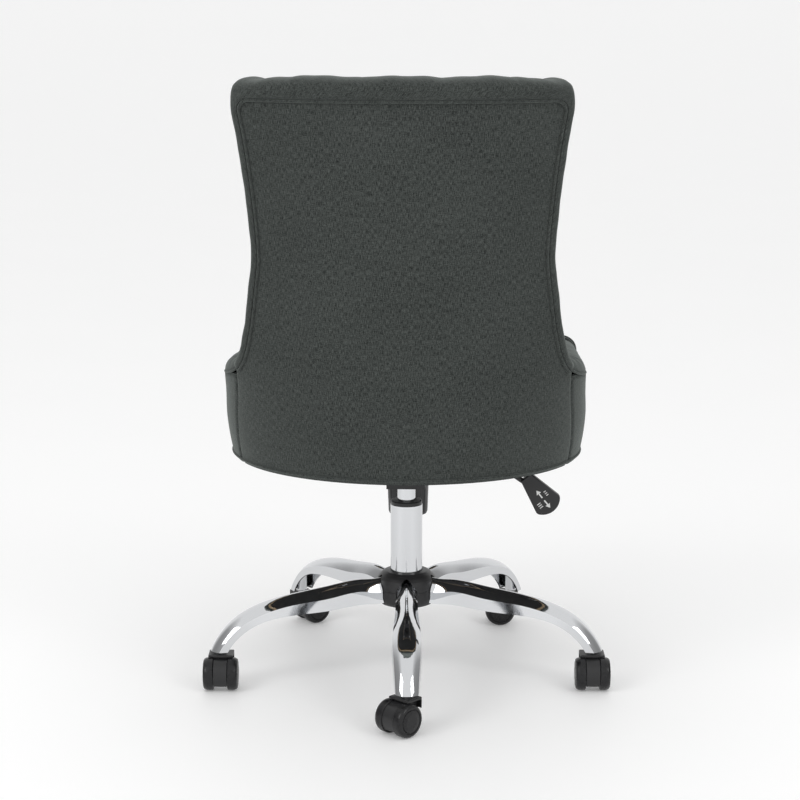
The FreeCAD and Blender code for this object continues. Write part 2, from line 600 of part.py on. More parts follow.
board_low, board_high = plate_top, plate_top + 15
rail_front = shell_front + 2
board_plan = Part.Face(Part.Wire(Part.makePolygon(
    [shell_point(-90, board_low, frame_in + 5) + Vector(0, shell_front, 0)]
    + [shell_point(a, board_low, frame_in + 5) for a in range(-90, 91, 6)]
    + [shell_point(90, board_low, frame_in + 5) + Vector(0, shell_front, 0)], True)))
board_trim = box((-400, rail_front + 16, board_low), (400, 400, board_high))
seat_board = board_plan.extrude(Vector(0, 0, 15)).common(board_trim)
for spot in bolt_spots:
    seat_board = seat_board.cut(ring(4.0, 0, board_low - 1, shell_low + 24, spot))
save("seat_board", seat_board)
rail_reach = 268 - frame_in - 2
save("front_rail", box((-rail_reach, rail_front, shell_low), (rail_reach, rail_front + 15, board_high)))

cover_hole = box((-plate_half - 4, -126, shell_low), (plate_half + 4, 96, plate_top + 5))
cover_plan = board_plan.copy()
cover_plan.translate(Vector(0, 0, shell_low + 7 - board_low))
dust_cover = cover_plan.extrude(Vector(0, 0, 1.5)).common(box((-400, rail_front + 16, 0), (400, 400, 400)))
save("dust_cover", dust_cover.cut(cover_hole))

# Cushion: a rounded block filling the space between the arm pads and the back pad, with one plan outline all
# the way up.
cushion_low = board_high + 2
cushion_front = -288.0
cushion_level = 385
cushion_steps = [(0, 4), (10, 0), (72, 0), (84, 5), (91, 13), (94, 24)]


def cushion_wire(up, inset):
    half = level(cushion_level, 1) - arm_pad_in - 4 - inset
    front, corner, height = cushion_front + inset, 22.0, cushion_low + up
    arc = []
    for k in range(-12, 13):
        angle = 7.5 * k
        past = max(0.0, (abs(angle) - 75) / 15)
        clear = back_pad_in + 3.5 + (arm_pad_in - back_pad_in + 0.5) * past
        place = shell_point(angle, cushion_level, clear + inset)
        arc.append(Vector(place.x, place.y, height))
    curve = Part.BSplineCurve()
    curve.interpolate(arc)
    near = [Vector(half, front + corner, height), Vector(half - corner, front, height)]
    far = [Vector(-half + corner, front, height), Vector(-half, front + corner, height)]
    bulge = corner * (1 - math.sqrt(0.5))
    turn_a = Part.Arc(near[0], Vector(half - bulge, front + bulge, height), near[1]).toShape()
    turn_b = Part.Arc(far[0], Vector(-half + bulge, front + bulge, height), far[1]).toShape()
    return Part.Wire([curve.toShape(), Part.makeLine(arc[-1], near[0]), turn_a,
                      Part.makeLine(near[1], far[0]), turn_b, Part.makeLine(far[1], arc[0])])


save("seat_cushion", Part.makeLoft([cushion_wire(up, inset) for up, inset in cushion_steps], True, True))

# Back pad: thick where it faces the sitter, and it stops against the arm pads low down.
ARM_START = 74.0


def back_pad_end(height):
    return min(ARM_START - 1.5, side_end(height) - 1.4)


pad_levels = [cushion_low, 390, 402, 411, 420, 430, 440, 460, 475, 488] + upper_levels[1:-1] + [panel_top - 0.4]
save("back_pad", band(pad_out, back_pad_in, pad_levels, lambda z: -back_pad_end(z), back_pad_end))


def back_edge(share):
    """The panel's upper edge from one elbow over the top to the other, share from -1 to 1: angle and height."""
    side = 1 if share > 0 else -1
    turn = max(0.0, min(1.0, (abs(share) - 0.31) / 0.08))
    if turn < 1:
        quarter = math.radians(90 * turn)
        flat = CORNER_ANGLE * min(1.0, abs(share) / 0.31)
        angle = flat + (SIDE_ANGLE - CORNER_ANGLE) * math.sin(quarter)
        return side * angle, panel_top - CORNER_RISE * (1 - math.cos(quarter))
    height = panel_top - CORNER_RISE - (abs(share) - 0.39) / 0.61 * (panel_top - CORNER_RISE - ROLL_FOOT)
    return side * side_end(height), height


def roll_section(here, away, normal, proud, across):
    """A flat-bottomed dome that sits on the panel's edge, proud of it, across its thickness."""
    root = here + away * SKIN_GAP
    points = []
    for k in range(9):
        a = math.radians(22.5 * k)
        swell = (proud - SKIN_GAP) * math.sin(a) ** 0.7
        points.append(root + normal * (3 - (across + 3) * (1 - math.cos(a)) / 2) + away * swell)
    dome = Part.BSplineCurve()
    dome.interpolate(points)
    return Part.Wire([dome.toShape(), Part.makeLine(points[-1], points[0])])


def back_roll_section(share):
    angle, height = back_edge(share)
    along = shell_point(*back_edge(min(1, share + 0.01))) - shell_point(*back_edge(max(-1, share - 0.01)))
    away = along.cross(outward(angle, height)).normalize()
    normal = away.cross(along).normalize()
    quarter = math.radians(90 * max(0.001, min(0.999, (abs(share) - 0.31) / 0.08)))
    near_corner = max(0.0, min(1.0, (abs(share) - 0.20) / 0.13))
    top = CORNER_RISE + roll_over_top - corner_drop * near_corner ** 2
    side = CORNER_RISE + roll_over_side
    proud = ((top / math.cos(quarter)) ** -8 + (side / math.sin(quarter)) ** -8) ** -0.125 - CORNER_RISE
    return roll_section(shell_point(angle, height), away, normal, proud, back_pad_in - 2)


roll_steps = 100
sections = [back_roll_section(-1 + 2 * k / roll_steps) for k in range(roll_steps + 1)]
save("back_edge_roll", Part.makeLoft(sections, True, True))

# Arm pads: a thin slab inside each arm, a roll along its top and a padded face over its front end.
slab_levels = [cushion_low, 390, 402, 420, 440, arm_front_top, 475, arm_rear_top]
slab = arm_band(pad_out, arm_pad_in, slab_levels, arm_end, ARM_START)
arm_sections = []
arm_path = [Vector(level(arm_front_top, 1), shell_front - 6, arm_front_top - 0.6),
            Vector(level(470, 1), -151, 470), Vector(level(482, 1), -28, 482)]
arm_path += [shell_point(a, z) for a, z in ((90, 492), (84, 493.8), (79, 495.4))]
for k, place in enumerate(arm_path):
    along = arm_path[max(k - 1, 0)] - arm_path[min(k + 1, len(arm_path) - 1)]
    away = along.cross(outward((90, 90, 90, 90, 84, 79)[k], place.z)).normalize()
    normal = away.cross(along).normalize()
    arm_sections.append(roll_section(place, away, normal, 28, arm_pad_in - 1))
arm_roll = Part.makeLoft(arm_sections, True, True)
arm_face = box((223, shell_front - 16, shell_low + 2), (273, shell_front - SKIN_GAP, arm_front_top + 0.6))
face_rim = [e for e in arm_face.Edges if e.CenterOfMass.y < shell_front - 15.9]
arm_face = arm_face.makeFillet(7, face_rim)
arm_pad = Part.makeCompound([slab, arm_roll, arm_face])
save("arm_pad_left", arm_pad)
save("arm_pad_right", arm_pad.mirror(Vector(0, 0, 0), Vector(1, 0, 0)))

buttons = []
for row, height in enumerate((590, 680, 770, 860)):
    for spot in ((-36, -12, 12, 36) if row % 2 else (-48, -24, 0, 24, 48)):
        across = shell_point(spot + 1, height, back_pad_in) - shell_point(spot - 1, height, back_pad_in)
        upward = shell_point(spot, height + 5, back_pad_in) - shell_point(spot, height - 5, back_pad_in)
        inward = across.cross(upward).normalize()
        middle = shell_point(spot, height, back_pad_in) + inward * SKIN_GAP
        buttons.append(Part.makeCylinder(9, 3, middle, inward))
save("tuft_buttons", Part.makeCompound(buttons))
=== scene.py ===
import math

import bmesh
import bpy
import numpy as np
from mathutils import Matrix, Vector
from mathutils.bvhtree import BVHTree


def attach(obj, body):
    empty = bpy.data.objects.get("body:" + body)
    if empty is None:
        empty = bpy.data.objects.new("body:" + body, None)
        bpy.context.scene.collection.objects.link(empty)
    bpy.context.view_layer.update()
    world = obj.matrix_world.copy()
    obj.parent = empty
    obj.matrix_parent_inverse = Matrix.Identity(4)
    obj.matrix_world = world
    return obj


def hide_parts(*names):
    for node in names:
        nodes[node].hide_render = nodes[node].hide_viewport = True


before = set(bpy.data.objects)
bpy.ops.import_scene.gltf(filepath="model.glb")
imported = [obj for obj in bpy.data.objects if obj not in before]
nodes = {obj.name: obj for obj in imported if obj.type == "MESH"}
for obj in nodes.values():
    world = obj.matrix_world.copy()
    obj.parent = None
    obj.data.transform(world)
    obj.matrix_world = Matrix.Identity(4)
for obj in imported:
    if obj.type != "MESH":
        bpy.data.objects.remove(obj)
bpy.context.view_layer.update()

# ---- Camera: behind the chair, a little above seat height, level with the floor's far edge out of sight.
# The whole chair fills the square frame through a long lens.
camera_data = bpy.data.cameras.new("camera")
camera_data.lens = 100
camera_data.sensor_width = 36
camera = bpy.data.objects.new("camera", camera_data)
camera.location = (-0.0962, 3.3847, 1.1106)
camera.rotation_euler = (math.radians(90 - 11.323), 0, math.radians(181.8))
bpy.context.scene.collection.objects.link(camera)
bpy.context.scene.camera = camera
bpy.context.scene.view_settings.view_transform = "Standard"


# ---- Outer cover: three panels of charcoal linen pulled over the frame, one across the back and one along
# the outside of each arm. They meet in a sewn seam low on each side, and each edge is turned in and stapled.
# Each level of the tub: height, half width, depth of the half ellipse, rear face
TUB_LEVELS = np.array([
    (352, 268, 235, 235), (385, 274, 234, 240), (420, 276.5, 222, 243), (460, 274.5, 196, 244.5),
    (500, 273, 165, 245), (560, 268, 138, 246), (620, 259.5, 127, 248), (680, 252, 125, 250),
    (740, 255.5, 125, 258), (840, 268, 125, 276), (900, 279, 125, 289), (960, 287, 125, 302)]) / 1000
ARM_FRONT = -0.270
PANEL_TOP, RIM = 0.918, 0.352
ARM_TOP_FRONT, ARM_TOP_REAR = 0.458, 0.492
COVER_THICK = 0.010


def smooth_through(x, knots, values):
    """Values on the Catmull-Rom curve through the knots: each span is the cubic that keeps the slopes of its
    neighbouring chords, and beyond the ends it stays level."""
    x = np.clip(np.asarray(x, float), knots[0], knots[-1])
    k = np.clip(np.searchsorted(knots, x, side="right") - 1, 0, len(knots) - 2)
    before, after = np.maximum(k - 1, 0), np.minimum(k + 2, len(knots) - 1)
    span = knots[k + 1] - knots[k]
    t = (x - knots[k]) / span
    start = (values[k + 1] - values[before]) / (knots[k + 1] - knots[before]) * span
    end = (values[after] - values[k]) / (knots[after] - knots[k]) * span
    return ((2 * t**3 - 3 * t**2 + 1) * values[k] + (t**3 - 2 * t**2 + t) * start
            + (3 * t**2 - 2 * t**3) * values[k + 1] + (t**3 - t**2) * end)


def tub_size(z):
    """Half width, depth and rear face of the tub at height z."""
    return [smooth_through(z, TUB_LEVELS[:, 0], TUB_LEVELS[:, k]) for k in (1, 2, 3)]


def tub(place, z, inward=0.0):
    """Points of the tub's outer face, moved inward by a distance. A place up to 90 is an angle from the rear on
    the half ellipse at that height, and beyond 90 it is 90 plus the millimetres run straight forward."""
    place, z, inward = np.broadcast_arrays(np.asarray(place, float), z, inward)
    half, depth, rear = tub_size(z)
    side, reach = np.sign(place), np.abs(place)
    a = np.radians(np.minimum(reach, 90))
    normal = np.stack([side * depth * np.sin(a), half * np.cos(a), 0 * a], -1)
    normal /= np.linalg.norm(normal, axis=-1, keepdims=True)
    run = np.maximum(reach - 90, 0) / 1000
    face = np.stack([side * half * np.sin(a), rear - depth + depth * np.cos(a) - run, z], -1)
    return face - normal * inward[..., None]


CORNER_RISE, CORNER_ANGLE, SIDE_ANGLE = 0.026, 49.0, 58.0
turn = np.radians([90, 75, 60, 45, 30, 15, 0])
EDGE = np.concatenate([
    np.array([(492, 90), (492.9, 87), (493.8, 84), (495, 80), (496.7, 77), (499, 73), (502.5, 70.2), (506, 67.5),
              (510.5, 65.7), (515, 64), (528, 61.3), (545, 59.5), (580, SIDE_ANGLE)]) * (0.001, 1),
    np.stack([PANEL_TOP - CORNER_RISE * (1 - np.cos(turn)),
              CORNER_ANGLE + (SIDE_ANGLE - CORNER_ANGLE) * np.sin(turn)], 1)])


def side_edge(z):
    """The angle where the back's side edge runs at height z, straight between the table's rows."""
    return np.interp(z, EDGE[:, 0], EDGE[:, 1])


def skin(name, grid, uv=None, wrap=False):
    """A mesh over a grid of points (rows, columns, 3): every cell is a quad, and wrap joins the last column to
    the first. uv is the flat cloth's own place in metres, one pair for each point, or lengths along the grid,
    swapped on a wrapped one so that the cloth's threads run round it."""
    rows, cols = grid.shape[:2]
    if uv is None:
        ring = np.concatenate([grid, grid[:, :1]], 1) if wrap else grid
        along = np.linalg.norm(np.diff(ring, axis=1), axis=2)
        up = np.linalg.norm(np.diff(ring, axis=0), axis=2)
        u = np.concatenate([np.zeros((rows, 1)), np.cumsum(along, 1)], 1)
        v = np.concatenate([np.zeros((1, up.shape[1])), np.cumsum(up, 0)], 0)
        uv = np.stack([v, u] if wrap else [u - u.mean(1, keepdims=True), v], -1)
    elif wrap:
        uv = np.concatenate([uv, uv[:, :1]], 1)
    index = np.arange(rows * cols).reshape(rows, cols)
    if wrap:
        index = np.concatenate([index, index[:, :1]], 1)
    flat = np.arange(uv.shape[0] * uv.shape[1]).reshape(uv.shape[:2])
    corners = [np.stack([g[:-1, :-1], g[:-1, 1:], g[1:, 1:], g[1:, :-1]], -1).reshape(-1, 4) for g in (index, flat)]
    mesh = bpy.data.meshes.new(name)
    mesh.from_pydata(grid.reshape(-1, 3).tolist(), [], corners[0].tolist())
    layer = mesh.uv_layers.new(name="cloth")
    layer.data.foreach_set("uv", uv.reshape(-1, 2)[corners[1].ravel()].ravel())
    mesh.polygons.foreach_set("use_smooth", np.ones(len(mesh.polygons), bool))
    piece = bpy.data.objects.new(name, mesh)
    bpy.context.scene.collection.objects.link(piece)
    return piece


def tidy(piece, outward=True):
    """Merges doubled points and turns the faces to point out."""
    bm = bmesh.new()
    bm.from_mesh(piece.data)
    bmesh.ops.remove_doubles(bm, verts=bm.verts, dist=1e-5)
    bmesh.ops.dissolve_degenerate(bm, edges=bm.edges, dist=1e-6)
    if outward:
        bmesh.ops.recalc_face_normals(bm, faces=bm.faces)
    bm.to_mesh(piece.data)
    bm.free()
    return piece


def linen(name, dark, light, tone):
    """Heathered linen on the cloth's own uv in metres: a plain weave of crossing threads about 1.3 mm apart, some
    of them thick slubs that run on for centimetres, with dyed fibres that take the colour unevenly."""
    material = bpy.data.materials.new(name)
    material.use_nodes = True
    tree = material.node_tree
    link, new = tree.links.new, tree.nodes.new
    shader = tree.nodes["Principled BSDF"]
    cloth = new("ShaderNodeUVMap")
    cloth.uv_map = "cloth"

    def streaks(scale_u, scale_v, detail, rough):
        mapping = new("ShaderNodeMapping")
        mapping.inputs["Scale"].default_value = (scale_u, scale_v, 1)
        link(cloth.outputs[0], mapping.inputs["Vector"])
        noise = new("ShaderNodeTexNoise")
        noise.inputs["Scale"].default_value = 1
        noise.inputs["Detail"].default_value = detail
        noise.inputs["Roughness"].default_value = rough
        link(mapping.outputs[0], noise.inputs["Vector"])
        return noise.outputs["Fac"]

    def maths(operation, a, b):
        node = new("ShaderNodeMath")
        node.operation = operation
        for socket, value in zip(node.inputs, (a, b)):
            if isinstance(value, (int, float)):
                socket.default_value = value
            else:
                link(value, socket)
        return node.outputs[0]

    def threads(direction):
        wave = new("ShaderNodeTexWave")
        wave.bands_direction = direction
        wave.inputs["Scale"].default_value = 125
        wave.inputs["Distortion"].default_value = 2.2
        wave.inputs["Detail"].default_value = 1
        wave.inputs["Detail Scale"].default_value = 0.6
        link(cloth.outputs[0], wave.inputs["Vector"])
        return wave.outputs["Fac"]

    warp, weft = streaks(1300, 130, 2, 0.6), streaks(150, 1200, 2, 0.6)
    speck = streaks(900, 900, 2, 0.75)
    cloud = streaks(9, 9, 3, 0.5)
    weave = maths("MULTIPLY", threads("X"), threads("Y"))
    mixed = maths("ADD", maths("MULTIPLY", warp, 0.40), maths("MULTIPLY", weft, 0.25))
    mixed = maths("ADD", mixed, maths("MULTIPLY", speck, 0.25))
    mixed = maths("ADD", mixed, maths("MULTIPLY", cloud, 0.04))
    ramp = new("ShaderNodeValToRGB")
    ramp.color_ramp.elements[0].position = 0.40
    ramp.color_ramp.elements[0].color = (*dark, 1)
    ramp.color_ramp.elements[1].position = 0.55
    ramp.color_ramp.elements[1].color = (*light, 1)
    link(mixed, ramp.inputs["Fac"])
    link(ramp.outputs["Color"], shader.inputs["Base Color"])
    bump = new("ShaderNodeBump")
    bump.inputs["Strength"].default_value = 0.35
    bump.inputs["Distance"].default_value = 0.0004
    link(maths("ADD", weave, mixed), bump.inputs["Height"])
    link(bump.outputs["Normal"], shader.inputs["Normal"])
    shader.inputs["Roughness"].default_value = 0.92
    shader.inputs["Specular IOR Level"].default_value = 0.2
    shader.inputs["Sheen Weight"].default_value = tone
    shader.inputs["Sheen Roughness"].default_value = 0.45
    shader.inputs["Sheen Tint"].default_value = (0.75, 0.82, 0.78, 1)
    return material


charcoal = linen("charcoal_linen", (0.011, 0.0132, 0.0122), (0.074, 0.082, 0.077), 0.30)
SEAM = np.array([(352, 67.5), (420, 66.0), (480, 65.6), (500, 66.2), (506, 67.0)], float)


def cover_panel(name, first, last, low, high, rows, cols):
    """A panel of the cover: rows of points from first(z) to last(z) on the tub's face between two heights, closer
    together near every edge, where the cloth dips as it turns in over the last 5 mm."""
    share = (1 - np.cos(np.linspace(0, math.pi, rows))) / 2
    z = (low + (high - low) * share)[:, None] * np.ones((1, cols))
    across = (1 - np.cos(np.linspace(0, math.pi, cols))) / 2
    place = first(z) + (last(z) - first(z)) * across[None, :]
    half, depth, _ = tub_size(z)
    a = np.radians(np.clip(np.abs(place), 0, 90))
    arc = np.abs(place) * 0 + np.sign(place) * (np.hypot(half, depth) / math.sqrt(2) * a
                                                + np.maximum(np.abs(place) - 90, 0) / 1000)
    uv = np.stack([arc, z], -1)
    from_side = np.minimum(np.abs(arc - arc[:, :1]), np.abs(arc - arc[:, -1:]))
    from_ends = np.minimum(z - low, high - z)
    dip = 0.0024 * (np.exp(-(from_side / 0.0035) ** 2) + np.exp(-(from_ends / 0.0035) ** 2))
    panel = skin(name, tub(place, z, dip), uv)
    thick = panel.modifiers.new("wall", "SOLIDIFY")
    thick.thickness = COVER_THICK
    thick.offset = -1
    return panel


def seam_place(z):
    """The angle of the sewn seam below the elbow, and of the back's edge above it."""
    seam = np.interp(z, SEAM[:, 0] / 1000, SEAM[:, 1])
    return np.where(z > 0.506, side_edge(z), seam)


def arm_place(z):
    """The place where an arm's outside panel ends at height z: at the arm's front, then along its sloping top."""
    half, depth, rear = tub_size(z)
    share = np.maximum(0, (z - ARM_TOP_FRONT) / (ARM_TOP_REAR - ARM_TOP_FRONT))
    reach = ARM_FRONT + share * (0.074 - ARM_FRONT)
    straight = 90 + (rear - depth - reach) * 1000
    return np.where(z < ARM_TOP_REAR, np.maximum(straight, 90), side_edge(z))


panels = [cover_panel("outer_back_panel", seam_place, lambda z: -seam_place(z), RIM, PANEL_TOP, 150, 120)]
panels.append(cover_panel("outer_arm_panel_left", arm_place, seam_place, RIM, 0.4985, 90, 90))
panels.append(cover_panel("outer_arm_panel_right", lambda z: -seam_place(z), lambda z: -arm_place(z), RIM, 0.4985,
                          90, 90))
for panel in panels:
    panel.data.materials.append(charcoal)
    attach(panel, "seat")
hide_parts("outer_shell")

# ---- Edge roll: foam wrapped round the top and sides of the back frame. The tufted cloth of the inner back
# runs over it and is sewn to the outer panel along a double welt, and its pleats leave shallow scallops.
ROLL_TOP, ROLL_SIDE, ROLL_DEEP = 0.027, 0.0165, 0.076
TUFT_ANGLE = 24.0


def edge_line(share):
    """Angle and height of the back's edge: flat across the top, a quarter turn, then down each side."""
    reach = np.abs(share)
    turn = np.radians(np.clip((reach - 0.31) / 0.08, 0, 1) * 90)
    z = PANEL_TOP - CORNER_RISE * (1 - np.cos(turn)) - np.clip((reach - 0.39) / 0.61, 0, 1) * (0.892 - 0.512)
    angle = CORNER_ANGLE * np.minimum(1, reach / 0.31) + (SIDE_ANGLE - CORNER_ANGLE) * np.sin(turn)
    return np.sign(share) * np.where(reach > 0.39, side_edge(z), angle), z


def unit(vectors):
    return vectors / np.linalg.norm(vectors, axis=-1, keepdims=True)


def frames(path, normal):
    """Along, away and normal unit vectors at each point of a path, from the path's slope and a rough normal:
    away is along crossed with the normal, so it points off the edge."""
    along = unit(np.gradient(path, axis=0))
    away = unit(np.cross(along, normal))
    return along, away, unit(np.cross(away, along))


def tub_normal(place, z):
    return unit(tub(place, z, -0.001) - tub(place, z, 0))


def round_ends(grid, bulge):
    """Adds rows to a tube's grid (rows, ring, 3) that draw in to the middle of each end on a quarter circle."""
    def cap(ring, outward):
        middle = ring.mean(0)
        a = np.radians(np.array([18, 36, 54, 72, 90]))
        return [middle + (ring - middle) * math.cos(k) + outward * bulge * math.sin(k) for k in a]
    first = unit(grid[0].mean(0) - grid[1].mean(0))
    last = unit(grid[-1].mean(0) - grid[-2].mean(0))
    return np.concatenate([cap(grid[0], first)[::-1], grid, cap(grid[-1], last)])


share = np.linspace(-1, 1, 361)
edge_angle, edge_z = edge_line(share)
edge_path = tub(edge_angle, edge_z)
_, edge_away, edge_normal = frames(edge_path, tub_normal(edge_angle, edge_z))
around = np.linspace(0, 2 * math.pi, 61)[:-1]
taper = np.clip((np.abs(share) - 0.28) / 0.14, 0, 1)
corner_turn = np.radians(np.clip((np.abs(share) - 0.31) / 0.08, 0.001, 0.999) * 90)
roll_top = ROLL_TOP - 0.008 * np.clip((np.abs(share) - 0.20) / 0.13, 0, 1) ** 2
proud = (((0.027 + roll_top) / np.cos(corner_turn)) ** -8.0
         + ((0.027 + ROLL_SIDE) / np.sin(corner_turn)) ** -8.0) ** -0.125 - 0.027
pleat = np.abs(np.cos(math.pi * edge_angle / TUFT_ANGLE)) ** 0.7
scallop = 1 - 0.085 * (1 - pleat) * (1 - taper)
sag = 0.0006 * np.sin(np.abs(share) * 41) + 0.0004 * np.sin(share * 97)
across = -ROLL_DEEP / 2 + 0.002 + (ROLL_DEEP / 2 + 0.002) * np.sign(np.cos(around)) * np.abs(np.cos(around)) ** 0.85
height = np.where(np.sin(around) > 0, np.abs(np.sin(around)) ** 0.72, -0.30 * np.abs(np.sin(around)) ** 0.8)
roll_grid = (edge_path[:, None, :] + edge_normal[:, None, :] * across[None, :, None]
             + edge_away[:, None, :] * ((proud * scallop + sag)[:, None] * height[None, :])[..., None])
roll = tidy(skin("back_edge_roll_cover", round_ends(roll_grid, 0.006), wrap=True))
roll.data.materials.append(charcoal)
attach(roll, "seat")
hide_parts("back_edge_roll")

# ---- Inner back: one piece of linen over foam, drawn to the frame by covered buttons in a diamond pattern. The
# folds between buttons run straight up and down past the first and last rows.
TUFT_RISE, TUFT_START, TUFT_END = 0.18, 0.590, 0.860
rows, cols = 330, 250
z = np.linspace(0.392, 0.9165, rows)[:, None] * np.ones((1, cols))
limit = np.minimum(73, side_edge(np.maximum(z, 0.492)) - 0.6)
place = limit * np.linspace(-1, 1, cols)[None, :]
lift = np.clip(z, TUFT_START, TUFT_END)
cross_up = place / TUFT_ANGLE + (lift - TUFT_START) / TUFT_RISE
cross_down = place / TUFT_ANGLE - (lift - TUFT_START) / TUFT_RISE
diamond = (np.abs(np.sin(math.pi * cross_up)) * np.abs(np.sin(math.pi * cross_down))) ** 0.42
past = np.clip(np.maximum(TUFT_START - z, z - TUFT_END) / 0.03, 0, 1)
column = np.where(z > 0.7, np.cos(math.pi * place / TUFT_ANGLE), np.sin(math.pi * place / TUFT_ANGLE))
pillow = diamond * (1 - past) + np.abs(column) ** 0.6 * past
button_spots = [(spot, height) for row, height in enumerate((0.590, 0.680, 0.770, 0.860))
                for spot in ((-36, -12, 12, 36) if row % 2 else (-48, -24, 0, 24, 48))]
pull = np.zeros_like(z)
for spot, height in button_spots:
    far = np.hypot(np.radians(place - spot) * 0.20, z - height)
    pull += np.exp(-(far / 0.013) ** 2)
edge_calm = np.clip((limit - np.abs(place)) / 7, 0, 1) * np.clip((0.9165 - z) / 0.02, 0, 1)
inner_depth = 0.0610 + edge_calm * (0.0150 * pillow - 0.0085 * pull) + (1 - edge_calm) * 0.004
inner = tub(place, z, inner_depth)
behind = tub(place * 0.985, np.clip(z, 0.396, 0.912), 0.034)
loop = np.concatenate([inner, behind[:, ::-1]], 1)
inner_back = tidy(skin("inner_back_cover", round_ends(loop, 0.0), wrap=True))
inner_back.data.materials.append(charcoal)
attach(inner_back, "seat")
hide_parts("back_pad")

buttons = []
ring, steps = 20, 7
a = np.linspace(0, 2 * math.pi, ring, endpoint=False)
for spot, height in button_spots:
    middle = tub(spot, height, 0.0545)
    inward = -tub_normal(np.array(float(spot)), np.array(height))
    side = unit(np.cross([0, 0, 1], inward))
    up = np.cross(inward, side)
    rise = np.linspace(0, math.pi / 2, steps)[:, None]
    flat = 0.0105 * np.cos(rise)
    dome = (middle + (flat * np.cos(a))[..., None] * side + (flat * np.sin(a))[..., None] * up
            + (0.005 * np.sin(rise) * np.ones_like(a))[..., None] * inward)
    foot = dome[:1] - inward * 0.004
    base = foot.mean(1, keepdims=True) + 0 * foot
    buttons.append(skin("tuft_button", np.concatenate([base, foot, dome]), wrap=True))
with bpy.context.temp_override(active_object=buttons[0], selected_editable_objects=buttons):
    bpy.ops.object.join()
button_set = tidy(buttons[0])
button_set.name = "covered_buttons"
button_set.data.materials.append(charcoal)
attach(button_set, "seat")
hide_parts("tuft_buttons")

# ---- Welts: linen sewn round a cord. A double one closes the back's edge, single ones run along the bottom
# rim and the top of each arm.
def welt(name, path, normal, radius):
    """A round tube carried along a path, its rings turned by the path's frames, with closed ends."""
    _, away, facing = frames(path, normal)
    a = np.linspace(0, 2 * math.pi, 13)[:-1]
    ring = (away[:, None, :] * np.cos(a)[None, :, None] + facing[:, None, :] * np.sin(a)[None, :, None]) * radius
    piece = tidy(skin(name, round_ends(path[:, None, :] + ring, radius * 0.6), wrap=True))
    piece.data.materials.append(charcoal)
    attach(piece, "seat")
    return piece


welt("back_welt_outer", edge_path - edge_away * 0.0015 + edge_normal * 0.0012, edge_normal, 0.0026)
welt("back_welt_inner", edge_path - edge_away * 0.0068 + edge_normal * 0.0008, edge_normal, 0.0024)
rim_depth = float(tub_size(RIM + 0.0065)[2] - tub_size(RIM + 0.0065)[1])
rim_end = 90 + (rim_depth - ARM_FRONT - 0.002) * 1000
rim_side = np.linspace(90, rim_end, 40)[1:]
rim_place = np.concatenate([-rim_side[::-1], np.linspace(-90, 90, 121), rim_side])
rim_z = np.full(rim_place.shape, RIM + 0.0065)
welt("bottom_welt", tub(rim_place, rim_z, -0.0004), tub_normal(rim_place, rim_z), 0.0019)

arm_y = np.concatenate([np.linspace(ARM_FRONT - 0.0015, 0.068, 70), np.full(24, 0.068)])
arm_turn = np.concatenate([np.full(70, 90.0), np.linspace(89.4, 66.0, 24)])
arm_top = np.where(arm_turn > 89.9, ARM_TOP_FRONT + (arm_y - ARM_FRONT) * (ARM_TOP_REAR - ARM_TOP_FRONT) / 0.344,
                   np.interp(-arm_turn, -EDGE[:13, 1], EDGE[:13, 0]))
half, depth, rear = tub_size(arm_top)
arm_reach = np.where(arm_turn > 89.9, 90 + np.maximum(0, rear - depth - arm_y) * 1000, arm_turn)
arm_line = tub(arm_reach, arm_top)
arm_out = tub_normal(arm_reach, arm_top)
welt("arm_welt_left", arm_line + (0, 0, 0.0005) - arm_out * 0.0008, arm_out, 0.0018)
welt("arm_welt_right", (arm_line + (0, 0, 0.0005) - arm_out * 0.0008) * (-1, 1, 1), arm_out * (-1, 1, 1), 0.0018)

# ---- Arm pads: foam over the top and inner face of each arm under one piece of linen, and a stuffed panel with
# a welt round it that closes the front end.
a = np.linspace(0, math.pi, 26)
dome_in = 0.0002 + 0.0518 * (1 - np.cos(a)) / 2
dome_up = 0.0015 + 0.0245 * np.sin(a) ** 0.82
fall = np.linspace(0, 1, 24)[1:]
loop_in = np.concatenate([dome_in, 0.0512 + 0.0022 * np.sin(math.pi * fall) - 0.0012 * fall, [0.044, 0.036, 0.0295],
                          np.full(12, 0.0285), [0.022, 0.012, 0.004]])
swell = 1 + 0.05 * np.sin(arm_y * 47) * np.sin(arm_y * 19 + 1) + 0.03 * np.sin(arm_turn * 0.9)
arm_rows = []
for k in range(len(arm_y)):
    top = arm_top[k]
    up = np.concatenate([top + dome_up * swell[k], top + (0.384 - top) * fall, [0.3805] * 3,
                         np.linspace(0.384, top - 0.004, 12), [top + 0.0012] * 3])
    wide = tub_size(up)[0] - tub_size(top)[0]
    place = arm_line[k][None, :] - arm_out[k][None, :] * (loop_in - wide)[:, None]
    place[:, 2] = up
    arm_rows.append(place)
arm_grid = round_ends(np.array(arm_rows), 0.006)

